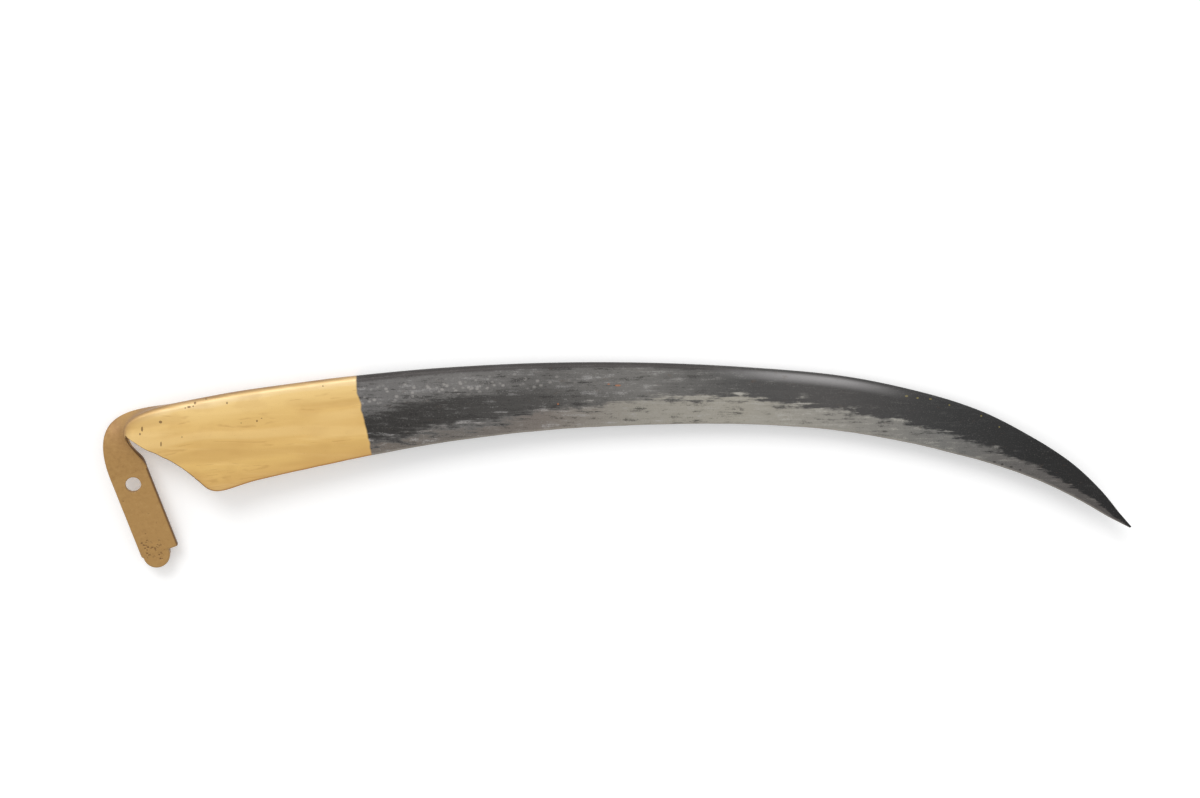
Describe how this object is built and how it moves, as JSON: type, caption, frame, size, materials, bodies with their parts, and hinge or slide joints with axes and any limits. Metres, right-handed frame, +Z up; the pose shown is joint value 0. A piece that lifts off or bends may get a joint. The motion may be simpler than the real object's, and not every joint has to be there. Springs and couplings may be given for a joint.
{
  "type": "scythe blade",
  "caption": "Curved mowing scythe blade with a stiffening rib along its back, a bent neck and a flat tang with a bore and a round knob.",
  "frame": {"origin": "centre of the tang's bore, where it opens in the face that seats on the handle", "axes": "+X along the blade from the heel to the point, +Y towards the back of the blade, +Z up, with the blade laid down on its knob and the free edge of its rib, underside up"},
  "size_m": [0.7001, 0.1422, 0.0265],
  "materials": {
    "lacquer": "gold-bronze lacquer, semi-gloss, chipped",
    "dark_steel": "forged, dark and hammered",
    "ground_steel": "ground and hammered edge"
  },
  "bodies": {
    "root": {"tang": "lacquer", "tang_knob": "lacquer", "neck": "lacquer", "heel": "lacquer", "heel_rib": "lacquer", "blade_web": "dark_steel", "back_rib": "dark_steel", "edge_band": "ground_steel", "point": "dark_steel"}
  },
  "joints": []
}
